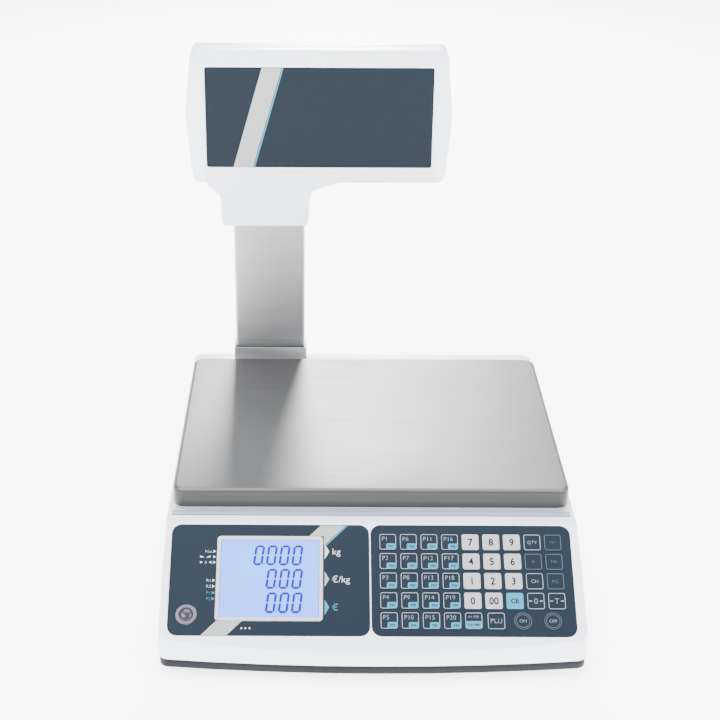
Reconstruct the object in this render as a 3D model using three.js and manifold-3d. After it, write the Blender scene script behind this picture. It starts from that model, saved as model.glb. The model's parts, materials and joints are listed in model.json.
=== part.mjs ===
// Price-computing counter scale with a raised customer display.
// Millimetres, +Z up, the operator stands on the -Y side and +X is the operator's right.
// The exported group is shifted so that its origin is the middle of its box, at the height of the feet.
import * as THREE from "three";
import { ConvexGeometry } from "three/addons/geometries/ConvexGeometry.js";
import { mergeVertices } from "three/addons/utils/BufferGeometryUtils.js";
import Module from "manifold-3d";

const wasm = await Module();
wasm.setup();

// ---- driving dimensions ----
const GAP = 0.3; // clearance between pieces that touch on the real object

const PLATTER = {
  width: 294,
  depth: 228,
  top: 101,
  skirt: 15,
  sheet: 1,
  corner: 9,
  edge: 3,
  border: 15,
  step: 0.3, // how far the field lies below the border
};

const BASE = {
  width: 305, // at the bottom edge of the upper housing
  wall: 2.8,
  draft: 2, // how far each side leans in between the bottom edge and the deck
  bottom: 14, // lower edge of the upper housing
  deck: 82, // height of the flat deck
  rearMargin: 50, // deck behind the platter's rear edge
  frontReach: 97, // from the platter's front edge to the middle of the bowed lip
  bow: 8, // how far the middle of the lip stands ahead of its corners
  corner: 8,
  rearCorner: 10,
};
const PLATEAU = { height: 5, setBack: 3.2, corner: 7 }; // raised field of the deck under the platter
const SLOPE = { angle: THREE.MathUtils.degToRad(35.3), start: 15.5 }; // operator panel
const OVERLAY = { length: 84.9, fromDeck: 1.8, corner: 7, split: 1.3, thick: 0.6, side: 7.4 };
const MEMBRANE = { thick: 0.5, tailX: 60, tailWidth: 24, tailUp: 3, tailDeep: 8 };
const LEFT_OVERLAY_WIDTH = 143.7;
const LCD = { left: 33.5, top: 9, width: 76.6, height: 64.7, bezel: 2.6, corner: 2.5, glass: 1.5 };
const LEVEL = { fromLeft: 13, fromTop: 69.1, r: 7.4, rim: 1.3, deep: 10, wall: 1.1 };
const LEDS = { fromLeft: 55.4, fromTop: 79.2, pitch: 2.9, r: 0.7 };
const KEY = { size: 12.5, pitch: 15, rise: 0.5, lean: 0.5, firstX: 12.3, firstS: 13.2 };
const KEY_BLOCK_SHIFT = { bottomPlu: 88.3, on: 107.3, off: 128.6, round: 6.5 };

const TRAY = { bottom: 7, inset: 4, rim: 0.8, wall: 2.5, floor: 2.5, lip: 8 };
const POST = { x: 139, front: -48, fromRear: 14, r: 4, bore: 1.5, boss: 6 };
const FOOT = {
  x: 124,
  front: -62,
  fromRear: 33,
  padR: 11,
  padH: 3,
  wheelR: 12,
  wheelH: 3.2,
  stud: 3,
  studTop: 27,
};
const FRAME = { thick: 3, rail: 18, beam: 60, tie: 24 };
const CELL = { length: 130, width: 30, height: 22, pedestal: 20, end: 25, hole: 7.5, holePitch: 22 };
const SPIDER = { thick: 5.5, arm: 22, padX: 108, padY: 78, padR: 9, hub: 30, stemSide: 25 };
const BATTERY = { x: 40, fromRear: 94, length: 100, width: 70, height: 47 };
const DOOR = { length: 84, width: 60, gap: 0.8 };
const SUPPLY = { x: -72, fromRear: 82, width: 54, depth: 46, height: 40 };
const BOARD = { x0: -104, x1: 104, fromTop: 10, length: 68, deep: 16, thick: 1.6 };
const INLET = {
  x: 96,
  z: 44,
  width: 27,
  height: 20,
  deep: 22,
  flange: 3,
  proud: 2,
  wall: 1.6,
  pin: 2,
};
const PORT = { x: 40, z: 44, width: 18, height: 10, deep: 10, flange: 5, proud: 1.2 };

const POLE = { fromRail: 1.5, width: 60, depth: 20, sheet: 1.5, lip: 18, front: 20, bottom: 16 };
const BRACKET = { wall: 1.2, rise: 1, flange: 9 };
const HEAD = {
  depth: 45,
  proud: 15, // head's front face ahead of the column's front face
  split: 24, // parting plane behind the front face
  wall: 2.5,
  top: 266,
  bottom: 154,
  left: -144.5,
  right: 64.5,
  bulge: 4.8,
  shoulder: 12, // depth of the bevel round the front face
  rearSlope: 9,
  flat: 8, // half height of the widest band
  corner: 6,
  screwInset: 9,
  neckMarginLeft: 9, // casing beyond the column on each side
  neckMarginRight: 3,
  neckBottom: 119,
  neckSetBack: 2.5,
};
const WINDOW = {
  left: -132.5,
  right: 53,
  bottom: 171,
  top: 255,
  corner: 2,
  border: 3,
  recess: 1.4,
  panel: 1,
};
const LABEL = { width: 55, bottom: 123, top: 140, deep: 0.6 };
const CUSTOMER = { left: -101, right: 21, bottom: 182, top: 245, deep: 9 };
const BOARD_EDGE = 4; // customer board beyond its display, above and below
const POLE_SCREWS = [32, 48];
const CABLE_ENTRY = 66;
const CABLE_R = 2.5;
const STOP_CLEARANCE = 0.6; // the load cell's free end may sink this far

// ---- placing values worked out from them ----
const frontY = 0; // platter's front edge
const rearY = PLATTER.depth + BASE.rearMargin;
const batteryY = rearY - BATTERY.fromRear;
const supplyY = rearY - SUPPLY.fromRear;
const rearPostY = rearY - POST.fromRear;
const rearFootY = rearY - FOOT.fromRear;
const railInnerX = -FOOT.x + FRAME.rail / 2;
const poleX = railInnerX + POLE.fromRail + BRACKET.wall + GAP + POLE.width / 2;
const neckLeftX = poleX - POLE.width / 2 - HEAD.neckMarginLeft;
const neckRightX = poleX + POLE.width / 2 + HEAD.neckMarginRight;
const poleFrontY = PLATTER.depth + POLE.front;
const headFrontY = poleFrontY - HEAD.proud;
const headRearY = headFrontY + HEAD.depth;
const partingY = headFrontY + HEAD.split;
const trayFloorTop = TRAY.bottom + TRAY.floor;
const frameBottom = trayFloorTop + GAP;
const frameTop = frameBottom + FRAME.thick;
const middleY = PLATTER.depth / 2;
const cellBottom = frameTop + GAP + CELL.pedestal + GAP;
const cellTop = cellBottom + CELL.height;
const plateauTop = BASE.deck + PLATEAU.height;
const platterUnder = PLATTER.top - PLATTER.step - PLATTER.sheet;
const padTop = platterUnder - GAP;
const spiderBottom = plateauTop + 2;
const spiderTop = spiderBottom + SPIDER.thick;
const depthMiddle = (Math.max(rearY + INLET.proud, headRearY) - BASE.frontReach) / 2;
const leftRecess = OVERLAY.thick + GAP;
const rightRecess = OVERLAY.thick + MEMBRANE.thick + 2 * GAP;

// ---- materials ----
const finish = (color, roughness, metalness = 0) =>
  new THREE.MeshStandardMaterial({ color, roughness, metalness });
const whiteAbs = () => finish(0xf1f1f5, 0.4);
const greyAbs = () => finish(0x3f4049, 0.5);
const blueFilm = () => finish(0x415363, 0.35);
const brushedSteel = () => finish(0x9b9b9b, 0.35, 1);
const aluminium = () => finish(0xb8babd, 0.45, 0.9);
const zincSteel = () => finish(0xc4c6c8, 0.35, 1);
const blackRubber = () => finish(0x26262a, 0.8);
const greenBoard = () => finish(0x2c6b45, 0.5);
const blackPlastic = () => finish(0x1e1f22, 0.5);
const clearGlass = () => finish(0xb9caff, 0.1);

// ---- solids ----
function solid(geometry) {
  const source = geometry.clone();
  source.deleteAttribute("normal");
  source.deleteAttribute("uv");
  const merged = mergeVertices(source, 1e-4);
  const mesh = new wasm.Mesh({
    numProp: 3,
    vertProperties: new Float32Array(merged.attributes.position.array),
    triVerts: new Uint32Array(merged.index.array),
  });
  return new wasm.Manifold(mesh);
}

function geometryOf(manifold) {
  const data = manifold.getMesh();
  const geometry = new THREE.BufferGeometry();
  geometry.setAttribute("position", new THREE.BufferAttribute(new Float32Array(data.vertProperties), 3));
  geometry.setIndex(new THREE.BufferAttribute(new Uint32Array(data.triVerts), 1));
  geometry.computeVertexNormals();
  return geometry;
}

const join = (first, ...rest) => rest.reduce((whole, piece) => whole.add(piece), first);
const cut = (first, ...rest) => rest.reduce((whole, piece) => whole.subtract(piece), first);

function box(x0, x1, y0, y1, z0, z1) {
  const geometry = new THREE.BoxGeometry(x1 - x0, y1 - y0, z1 - z0);
  geometry.translate((x0 + x1) / 2, (y0 + y1) / 2, (z0 + z1) / 2);
  return solid(geometry);
}

function upright(r, x, y, z0, z1, sides = 16) {
  const geometry = new THREE.CylinderGeometry(r, r, z1 - z0, sides);
  geometry.rotateX(Math.PI / 2);
  geometry.translate(x, y, (z0 + z1) / 2);
  return solid(geometry);
}

function crossways(r, x, z, y0, y1, sides = 16) {
  const geometry = new THREE.CylinderGeometry(r, r, y1 - y0, sides);
  geometry.translate(x, (y0 + y1) / 2, z);
  return solid(geometry);
}

// A closed outline with rounded corners. corners run anticlockwise as [x, y, radius], and inset moves
// every edge inwards, with the corner radii kept parallel.
function outline(corners, inset = 0, steps = 4) {
  const points = [];
  const count = corners.length;
  const moved = corners.map(([x, y, r], i) => {
    const before = corners[(i + count - 1) % count];
    const after = corners[(i + 1) % count];
    const into = new THREE.Vector2(x - before[0], y - before[1]).normalize();
    const out = new THREE.Vector2(after[0] - x, after[1] - y).normalize();
    const scale = inset / (1 + into.dot(out));
    const turn = into.cross(out);
    const px = x + scale * (-into.y - out.y);
    const py = y + scale * (into.x + out.x);
    return { px, py, into, out, turn, r: r ? Math.max(0.4, r - Math.sign(turn) * inset) : 0 };
  });
  for (const { px, py, into, out, turn, r } of moved) {
    if (!r) {
      points.push(new THREE.Vector2(px, py));
      continue;
    }
    const angle = Math.atan2(turn, into.dot(out));
    const reach = r * Math.tan(Math.abs(angle) / 2);
    const side = Math.sign(angle);
    const startX = px - into.x * reach;
    const startY = py - into.y * reach;
    const centreX = startX - side * into.y * r;
    const centreY = startY + side * into.x * r;
    for (let i = 0; i <= steps; i += 1) {
      const at = (angle * i) / steps;
      const rx = (startX - centreX) * Math.cos(at) - (startY - centreY) * Math.sin(at);
      const ry = (startX - centreX) * Math.sin(at) + (startY - centreY) * Math.cos(at);
      points.push(new THREE.Vector2(centreX + rx, centreY + ry));
    }
  }
  return points;
}

const rectangle = (x0, x1, y0, y1, r) => [[x0, y0, r], [x1, y0, r], [x1, y1, r], [x0, y1, r]];

// A straight prism of an outline, standing on z0.
function prism(points, z0, z1, holes = []) {
  const shape = new THREE.Shape(points);
  for (const hole of holes) shape.holes.push(new THREE.Path(hole));
  const geometry = new THREE.ExtrudeGeometry(shape, { depth: z1 - z0, bevelEnabled: false, steps: 1 });
  geometry.translate(0, 0, z0);
  return solid(geometry);
}

// A closed skin through rings of equal point count, capped at both ends. Rings run anticlockwise seen
// from the direction of travel.
function skin(rings) {
  const count = rings[0].points.length;
  const positions = [];
  const index = [];
  for (const { points, z } of rings) {
    for (const point of points) positions.push(point.x, point.y, z);
  }
  for (let k = 0; k + 1 < rings.length; k += 1) {
    for (let i = 0; i < count; i += 1) {
      const a = k * count + i;
      const b = k * count + ((i + 1) % count);
      index.push(a, b, b + count, a, b + count, a + count);
    }
  }
  const last = (rings.length - 1) * count;
  for (const [a, b, c] of THREE.ShapeUtils.triangulateShape(rings[0].points, [])) index.push(c, b, a);
  const lastFaces = THREE.ShapeUtils.triangulateShape(rings[rings.length - 1].points, []);
  for (const [a, b, c] of lastFaces) index.push(last + a, last + b, last + c);
  const geometry = new THREE.BufferGeometry();
  geometry.setAttribute("position", new THREE.Float32BufferAttribute(positions, 3));
  geometry.setIndex(index);
  return solid(geometry);
}

const scale = new THREE.Group();
scale.position.set(0, -depthMiddle, 0);

function place(name, shape, material, parent = scale) {
  const mesh = new THREE.Mesh(shape.isBufferGeometry ? shape : geometryOf(shape), material);
  mesh.name = name;
  parent.add(mesh);
}

// The operator panel's own frame: x as the scale's, y up the slope, z out of the panel, origin on the
// panel's middle at the overlays' top edge.
const panel = new THREE.Group();
panel.position.set(
  0,
  frontY - SLOPE.start - OVERLAY.fromDeck * Math.cos(SLOPE.angle),
  BASE.deck - OVERLAY.fromDeck * Math.sin(SLOPE.angle),
);
panel.rotation.x = SLOPE.angle;
scale.add(panel);
const onPanel = (manifold) =>
  manifold.rotate([THREE.MathUtils.radToDeg(SLOPE.angle), 0, 0]).translate(panel.position.toArray());

// ---- base: plan and side outlines ----
function basePlan(inset, rounded = true) {
  const half = BASE.width / 2;
  const cornerY = frontY - BASE.frontReach + BASE.bow;
  const radius = (half * half + BASE.bow * BASE.bow) / (2 * BASE.bow);
  const centreY = frontY - BASE.frontReach + radius;
  const corners = [];
  const parts = 8;
  corners.push([-half, cornerY, rounded ? BASE.corner : 0]);
  for (let i = 1; i < parts; i += 1) {
    const x = -half + (BASE.width * i) / parts;
    corners.push([x, centreY - Math.sqrt(radius * radius - x * x), 0]);
  }
  corners.push([half, cornerY, rounded ? BASE.corner : 0]);
  corners.push([half, rearY, BASE.rearCorner]);
  corners.push([-half, rearY, BASE.rearCorner]);
  return outline(corners, inset);
}

function sideProfile(inset, bottom) {
  const far = BASE.frontReach + 15;
  const drop = (far - SLOPE.start) * Math.tan(SLOPE.angle);
  const corners = [
    [-far, bottom, 0],
    [rearY + 20, bottom, 0],
    [rearY + 20, BASE.deck, 0],
    [frontY - SLOPE.start, BASE.deck, 3],
    [-far, Math.max(BASE.deck - drop, bottom + 0.5), 0],
  ];
  return outline(corners, inset, 3);
}

function baseBlock(inset, bottom) {
  const plan = skin([
    { points: basePlan(inset), z: bottom },
    { points: basePlan(inset), z: BASE.bottom },
    { points: basePlan(inset + BASE.draft), z: BASE.deck },
    { points: basePlan(inset + BASE.draft), z: BASE.deck + 20 },
  ].filter((ring, i) => i !== 1 || bottom < BASE.bottom));
  const side = prism(sideProfile(inset, bottom - inset), -BASE.width, BASE.width);
  return plan.intersect(side.rotate([90, 0, 90]));
}

const plateauCorners = () =>
  rectangle(
    -PLATTER.width / 2 + PLATTER.sheet + PLATEAU.setBack,
    PLATTER.width / 2 - PLATTER.sheet - PLATEAU.setBack,
    frontY + PLATTER.sheet + PLATEAU.setBack,
    PLATTER.depth - PLATTER.sheet - PLATEAU.setBack,
    PLATEAU.corner,
  );

// ---- operator panel: outlines in the panel's frame ----
const leftOverlayX = -BASE.width / 2 + OVERLAY.side - 0.6;
const rightOverlayX = leftOverlayX + LEFT_OVERLAY_WIDTH + OVERLAY.split;
const rightOverlayEnd = BASE.width / 2 - OVERLAY.side - 0.6;
const overlayOutline = (x0, x1, inset) =>
  outline(rectangle(x0, x1, -OVERLAY.length, 0, OVERLAY.corner), inset);
const leftOverlay = (inset) => overlayOutline(leftOverlayX, leftOverlayX + LEFT_OVERLAY_WIDTH, inset);
const rightOverlay = (inset) => overlayOutline(rightOverlayX, rightOverlayEnd, inset);
const lcdLeft = leftOverlayX + LCD.left;
const lcdOutline = (inset) =>
  outline(rectangle(lcdLeft, lcdLeft + LCD.width, -LCD.top - LCD.height, -LCD.top, LCD.corner), inset, 3);
const levelX = leftOverlayX + LEVEL.fromLeft;
const levelY = -LEVEL.fromTop;
const ledX = leftOverlayX + LEDS.fromLeft;

function keyPlaces() {
  const places = [];
  for (let column = 0; column < 9; column += 1) {
    for (let row = 0; row < 5; row += 1) {
      const x = rightOverlayX + KEY.firstX + column * KEY.pitch;
      const y = -KEY.firstS - row * KEY.pitch;
      if (row < 4 || column < 4) places.push({ x, y, round: 0 });
    }
  }
  const y = -KEY.firstS - 4 * KEY.pitch;
  places.push({ x: rightOverlayX + KEY.firstX + 4 * KEY.pitch, y, round: 0 });
  places.push({ x: rightOverlayX + KEY_BLOCK_SHIFT.bottomPlu, y, round: 0 });
  places.push({ x: rightOverlayX + KEY_BLOCK_SHIFT.on, y, round: KEY_BLOCK_SHIFT.round });
  places.push({ x: rightOverlayX + KEY_BLOCK_SHIFT.off, y, round: KEY_BLOCK_SHIFT.round });
  return places;
}

// ---- housings ----
function upperHousing() {
  let shell = baseBlock(0, BASE.bottom);
  shell = shell.add(prism(outline(plateauCorners()), BASE.deck - 1, plateauTop));
  const cavity = baseBlock(BASE.wall, BASE.bottom - 5);
  const under = BASE.deck - BASE.wall - 1;
  const plateauCavity = prism(outline(plateauCorners(), BASE.wall), under, plateauTop - BASE.wall);
  shell = cut(shell, cavity, plateauCavity);
  for (const [x, y] of postPlaces()) {
    const top = Math.min(BASE.deck - 1, panelHeight(y) - 1);
    shell = shell.add(upright(POST.r, x, y, postBottom, top, 16));
    shell = shell.subtract(upright(POST.bore, x, y, postBottom - 1, postBottom + 9, 12));
  }
  const out = 3;
  shell = shell.subtract(onPanel(prism(leftOverlay(-GAP), -leftRecess, out)));
  shell = shell.subtract(onPanel(prism(rightOverlay(-GAP), -rightRecess, out)));
  shell = shell.subtract(onPanel(prism(lcdOutline(LCD.bezel - GAP), -8, out)));
  shell = shell.subtract(onPanel(upright(LEVEL.r - LEVEL.rim + GAP, levelX, levelY, -8, out)));
  shell = shell.subtract(onPanel(box(ledX - 6, ledX + 6, -LEDS.fromTop - 2, -LEDS.fromTop + 2, -8, out)));
  shell = shell.subtract(onPanel(box(...keypadTail(0.6), -9, 1)));
  shell = shell.subtract(stemHole());
  shell = shell.subtract(poleSlot());
  const rearCut = [rearY - BASE.wall - 4, rearY + 4];
  shell = shell.subtract(
    box(
      INLET.x - INLET.width / 2,
      INLET.x + INLET.width / 2,
      ...rearCut,
      INLET.z - INLET.height / 2,
      INLET.z + INLET.height / 2,
    ),
  );
  shell = shell.subtract(
    box(
      PORT.x - PORT.width / 2,
      PORT.x + PORT.width / 2,
      ...rearCut,
      PORT.z - PORT.height / 2,
      PORT.z + PORT.height / 2,
    ),
  );
  return shell;
}

const postPlaces = () => [
  [-POST.x, POST.front],
  [POST.x, POST.front],
  [-POST.x, rearPostY],
  [POST.x, rearPostY],
];
const postBottom = trayFloorTop + POST.boss + GAP;
const panelHeight = (y) =>
  y > -SLOPE.start ? BASE.deck : BASE.deck - (-SLOPE.start - y) * Math.tan(SLOPE.angle) - BASE.wall + 1;
const keypadTail = (clear) => [
  rightOverlayX + MEMBRANE.tailX - clear,
  rightOverlayX + MEMBRANE.tailX + MEMBRANE.tailWidth + clear,
  -OVERLAY.length + MEMBRANE.tailUp - clear,
  -OVERLAY.length + MEMBRANE.tailUp + MEMBRANE.thick + clear,
];
const stemX = CELL.length / 2 - CELL.end / 2;
const stemHole = () =>
  box(stemX - 19, stemX + 19, middleY - 22, middleY + 22, BASE.deck - 8, plateauTop + 3);
const poleSlot = () =>
  box(
    poleX - POLE.width / 2 - BRACKET.wall - 1.2,
    poleX + POLE.width / 2 + BRACKET.wall + 1.2,
    poleFrontY - BRACKET.wall - 1.2,
    poleFrontY + POLE.depth + 1,
    BASE.deck - 8,
    BASE.deck + 3,
  );

function lowerHousing() {
  const top = BASE.bottom + TRAY.lip;
  let tray = prism(basePlan(TRAY.inset), TRAY.bottom, top);
  tray = tray.add(prism(basePlan(TRAY.rim), TRAY.bottom, BASE.bottom - GAP));
  tray = tray.subtract(prism(basePlan(TRAY.inset + TRAY.wall), trayFloorTop, top + 1));
  for (const [x, y] of postPlaces()) {
    tray = tray.add(upright(POST.r + 1, x, y, trayFloorTop - 1, trayFloorTop + POST.boss, 16));
    tray = tray.subtract(upright(POST.bore + 0.4, x, y, TRAY.bottom - 1, trayFloorTop + POST.boss + 1, 12));
    tray = tray.subtract(upright(POST.r - 0.8, x, y, TRAY.bottom - 1, TRAY.bottom + 3, 16));
  }
  for (const [x, y] of footPlaces()) tray = tray.subtract(upright(FOOT.stud + 2, x, y, 0, trayFloorTop + 1));
  tray = tray.subtract(upright(4.2, -stemX, middleY, 0, trayFloorTop + 1));
  tray = tray.subtract(
    box(
      BATTERY.x - DOOR.length / 2 - DOOR.gap,
      BATTERY.x + DOOR.length / 2 + DOOR.gap,
      batteryY - DOOR.width / 2 - DOOR.gap,
      batteryY + DOOR.width / 2 + DOOR.gap,
      0,
      trayFloorTop + 1,
    ),
  );
  return tray;
}

const footPlaces = () => [
  [-FOOT.x, FOOT.front],
  [FOOT.x, FOOT.front],
  [-FOOT.x, rearFootY],
  [FOOT.x, rearFootY],
];

// ---- chassis, load cell and platter support ----
function baseFrame() {
  const rail = FRAME.rail / 2;
  const beam = FRAME.beam / 2;
  const reach = FOOT.x + rail;
  let frame = box(-reach, reach, middleY - beam, middleY + beam, frameBottom, frameTop);
  for (const side of [-1, 1]) {
    const x = side * FOOT.x;
    frame = frame.add(box(x - rail, x + rail, FOOT.front - rail, rearFootY + rail, frameBottom, frameTop));
  }
  for (const y of [FOOT.front, rearFootY]) {
    const tie = FRAME.tie / 2;
    frame = frame.add(box(-FOOT.x, FOOT.x, y - tie, y + tie, frameBottom, frameTop));
  }
  for (const [x, y] of footPlaces()) {
    frame = frame.add(upright(FOOT.stud + 3, x, y, frameTop - 1, frameTop + 6, 6));
    frame = frame.subtract(upright(FOOT.stud + GAP, x, y, frameBottom - 1, frameTop + 7, 12));
  }
  frame = frame.subtract(upright(2.2, -stemX, middleY, frameBottom - 1, frameTop + 1, 12));
  return frame;
}

function loadCell() {
  const half = CELL.length / 2;
  const z = (cellBottom + cellTop) / 2;
  const y0 = middleY - CELL.width / 2;
  const y1 = middleY + CELL.width / 2;
  let cell = box(-half, half, y0, y1, cellBottom, cellTop);
  for (const side of [-1, 1]) {
    const x = (side * CELL.holePitch) / 2;
    cell = cell.subtract(crossways(CELL.hole, x, z, y0 - 1, y1 + 1));
  }
  cell = cell.subtract(box(-CELL.holePitch / 2, CELL.holePitch / 2, y0 - 1, y1 + 1, z - 2, z + 2));
  return cell;
}

function pedestal() {
  const half = CELL.length / 2;
  const block = box(
    -half,
    -half + CELL.end,
    middleY - CELL.width / 2,
    middleY + CELL.width / 2,
    frameTop + GAP,
    frameTop + GAP + CELL.pedestal,
  );
  return block.subtract(upright(2.2, -stemX, middleY, frameTop, cellBottom, 12));
}

// A socket-head bolt, head at the end that its direction leaves.
function bolt(name, x, y, shankR, from, to, headR, headH, parent = scale) {
  const down = to < from;
  const z0 = Math.min(from, to);
  const z1 = Math.max(from, to);
  let screw = upright(shankR, x, y, z0, z1, 12);
  const head = down ? [z0 - headH, z0 + 0.1] : [z1 - 0.1, z1 + headH];
  screw = screw.add(upright(headR, x, y, ...head, 16));
  const socket = down ? [z0 - headH - 1, z0 - headH + 1.2] : [z1 + headH - 1.2, z1 + headH + 1];
  screw = screw.subtract(upright(headR * 0.5, x, y, ...socket, 6));
  place(name, screw, zincSteel(), parent);
}

function spider() {
  const bars = [];
  for (const side of [-1, 1]) {
    const dx = SPIDER.padX;
    const dy = side * SPIDER.padY;
    const length = Math.hypot(dx, dy) * 2 + 2 * SPIDER.padR;
    const bar = box(-length / 2, length / 2, -SPIDER.arm / 2, SPIDER.arm / 2, spiderBottom, spiderTop);
    const angle = THREE.MathUtils.radToDeg(Math.atan2(dy, dx));
    bars.push(bar.rotate([0, 0, angle]).translate([0, middleY, 0]));
  }
  const half = SPIDER.stemSide / 2;
  const hub = box(-SPIDER.hub, stemX + 18, middleY - 24, middleY + 24, spiderBottom, spiderTop);
  const stem = box(stemX - half, stemX + half, middleY - half, middleY + half, cellTop + GAP, spiderTop - 1);
  const [ribStart, ribEnd] = [-SPIDER.hub + 6, stemX - half + 1];
  const rib = box(ribStart, ribEnd, middleY - 3, middleY + 3, spiderBottom - 1.2, spiderTop - 1);
  return join(hub, ...bars, stem, rib).subtract(upright(2.2, stemX, middleY, cellTop - 1, spiderTop + 1, 12));
}

function platter() {
  const corners = rectangle(-PLATTER.width / 2, PLATTER.width / 2, frontY, PLATTER.depth, PLATTER.corner);
  const ring = (inset, z) => ({ points: outline(corners, inset), z });
  const bottom = PLATTER.top - PLATTER.skirt;
  const bend = (radius, inset, top) => {
    const rings = [];
    for (let i = 0; i <= 3; i += 1) {
      const at = (Math.PI / 2) * (i / 3);
      rings.push(ring(inset + radius * (1 - Math.cos(at)), top - radius * (1 - Math.sin(at))));
    }
    return rings;
  };
  const outside = skin([
    ring(0, bottom),
    ...bend(PLATTER.edge, 0, PLATTER.top),
    ring(PLATTER.border, PLATTER.top),
    ring(PLATTER.border + 1.2, PLATTER.top - PLATTER.step),
  ]);
  const inside = skin([
    ring(PLATTER.sheet, bottom - 1),
    ...bend(PLATTER.edge - PLATTER.sheet, PLATTER.sheet, PLATTER.top - PLATTER.sheet),
    ring(PLATTER.border - 1, PLATTER.top - PLATTER.sheet),
    ring(PLATTER.border + 0.2, PLATTER.top - PLATTER.step - PLATTER.sheet),
  ]);
  return outside.subtract(inside);
}

// ---- column and display head ----
function column(top) {
  const half = POLE.width / 2;
  const t = POLE.sheet;
  const back = poleFrontY + POLE.depth;
  const section = [
    [-half, poleFrontY, 2.5],
    [half, poleFrontY, 2.5],
    [half, back, 2.5],
    [half - POLE.lip, back, 0],
    [half - POLE.lip, back - t, 0],
    [half - t, back - t, 1],
    [half - t, poleFrontY + t, 1],
    [-half + t, poleFrontY + t, 1],
    [-half + t, back - t, 1],
    [-half + POLE.lip, back - t, 0],
    [-half + POLE.lip, back, 0],
    [-half, back, 2.5],
  ];
  return prism(outline(section, 0, 3), POLE.bottom, top).translate([poleX, 0, 0]);
}

// Folded socket that holds the column's foot: three walls round the column and a screwed-down flange.
function columnBracket() {
  const half = POLE.width / 2 + GAP;
  const wall = BRACKET.wall;
  const front = poleFrontY - GAP;
  const back = poleFrontY + POLE.depth;
  const top = PLATTER.top + BRACKET.rise;
  const low = frameTop + GAP;
  let socket = box(poleX - half - wall, poleX + half + wall, front - wall, back, low, top);
  socket = socket.subtract(box(poleX - half, poleX + half, front, back + 1, low - 1, top + 1));
  const plate = box(
    poleX - half - wall,
    poleX + half + wall,
    front - wall - BRACKET.flange,
    front - wall + 0.5,
    low,
    low + wall,
  );
  return socket.add(plate);
}

const above = (z) => PLATTER.top + z;
const headMiddle = (HEAD.bottom + HEAD.top) / 2;

// The casing's outline where its halves meet, bulging a little at mid height.
const headParting = (inset) => {
  const left = HEAD.left - HEAD.bulge;
  const right = HEAD.right + HEAD.bulge;
  const corners = [
    [HEAD.left, above(HEAD.bottom), HEAD.corner],
    [HEAD.right, above(HEAD.bottom), HEAD.corner],
    [right, above(headMiddle - HEAD.flat), 0],
    [right, above(headMiddle + HEAD.flat), 0],
    [HEAD.right, above(HEAD.top), HEAD.corner],
    [HEAD.left, above(HEAD.top), HEAD.corner],
    [left, above(headMiddle + HEAD.flat), 0],
    [left, above(headMiddle - HEAD.flat), 0],
  ];
  return outline(corners, inset, 4);
};

const headFace = (inset) => {
  const b = WINDOW.border;
  const [low, high] = [above(WINDOW.bottom - b), above(WINDOW.top + b)];
  const corners = rectangle(WINDOW.left - b, WINDOW.right + b, low, high, 4);
  return outline(corners, inset, 4);
};

// The convex solid through XZ outlines, each at its own place along Y.
function hullThrough(rings) {
  const points = rings.flatMap(({ points: ring, y }) => ring.map((p) => new THREE.Vector3(p.x, y, p.y)));
  return solid(new ConvexGeometry(points));
}

function frontHalf(inset) {
  const body = hullThrough([
    { points: headFace(inset), y: headFrontY + inset },
    { points: headParting(inset), y: headFrontY + HEAD.shoulder },
    { points: headParting(inset), y: partingY + (inset ? 1 : 0) },
  ]);
  return body.add(neck(inset, headFrontY + HEAD.neckSetBack + inset, partingY + (inset ? 1 : 0)));
}

function rearHalf(inset) {
  const start = partingY + (inset ? -1 : GAP);
  const body = hullThrough([
    { points: headParting(inset), y: start },
    { points: headParting(inset), y: headRearY - HEAD.rearSlope },
    { points: headFace(inset - 1), y: headRearY - inset },
  ]);
  return body.add(neck(inset, start, headRearY - HEAD.neckSetBack - inset));
}

function neck(inset, y0, y1) {
  const outer = [
    [neckLeftX, above(HEAD.neckBottom), 4],
    [neckRightX, above(HEAD.neckBottom), 4],
    [neckRightX + 2.5, above(HEAD.bottom - 4), 6],
    [neckRightX + 26, above(HEAD.bottom + 3), 0],
    [neckRightX + 26, above(HEAD.bottom + 12), 0],
    [neckLeftX - 12, above(HEAD.bottom + 12), 0],
    [neckLeftX - 12, above(HEAD.bottom + 1), 0],
    [neckLeftX - 1, above(HEAD.bottom - 8), 8],
  ];
  return prismAlongY(outline(outer, inset, 4), y0, y1);
}

// A straight prism of an XZ outline between two places along Y.
function prismAlongY(points, y0, y1, holes = []) {
  const flipped = (ring) => ring.map((p) => new THREE.Vector2(p.x, -p.y)).reverse();
  return prism(flipped(points), y0, y1, holes.map(flipped)).rotate([-90, 0, 0]);
}

const headScrewPlaces = () => {
  const m = HEAD.screwInset;
  const places = [];
  for (const x of [WINDOW.left + m, WINDOW.right - m]) {
    for (const z of [WINDOW.bottom + m, WINDOW.top - m]) places.push([x, above(z)]);
  }
  return places;
};

const columnHole = () => {
  const c = 0.5;
  const half = POLE.width / 2 + c;
  const back = poleFrontY + POLE.depth + c;
  return box(poleX - half, poleX + half, poleFrontY - c, back, above(HEAD.neckBottom) - 1, columnTop + 2);
};
const columnTop = above(HEAD.bottom + 6);

const windowOutline = (inset) => {
  const [low, high] = [above(WINDOW.bottom), above(WINDOW.top)];
  return outline(rectangle(WINDOW.left, WINDOW.right, low, high, WINDOW.corner), inset);
};

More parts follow.
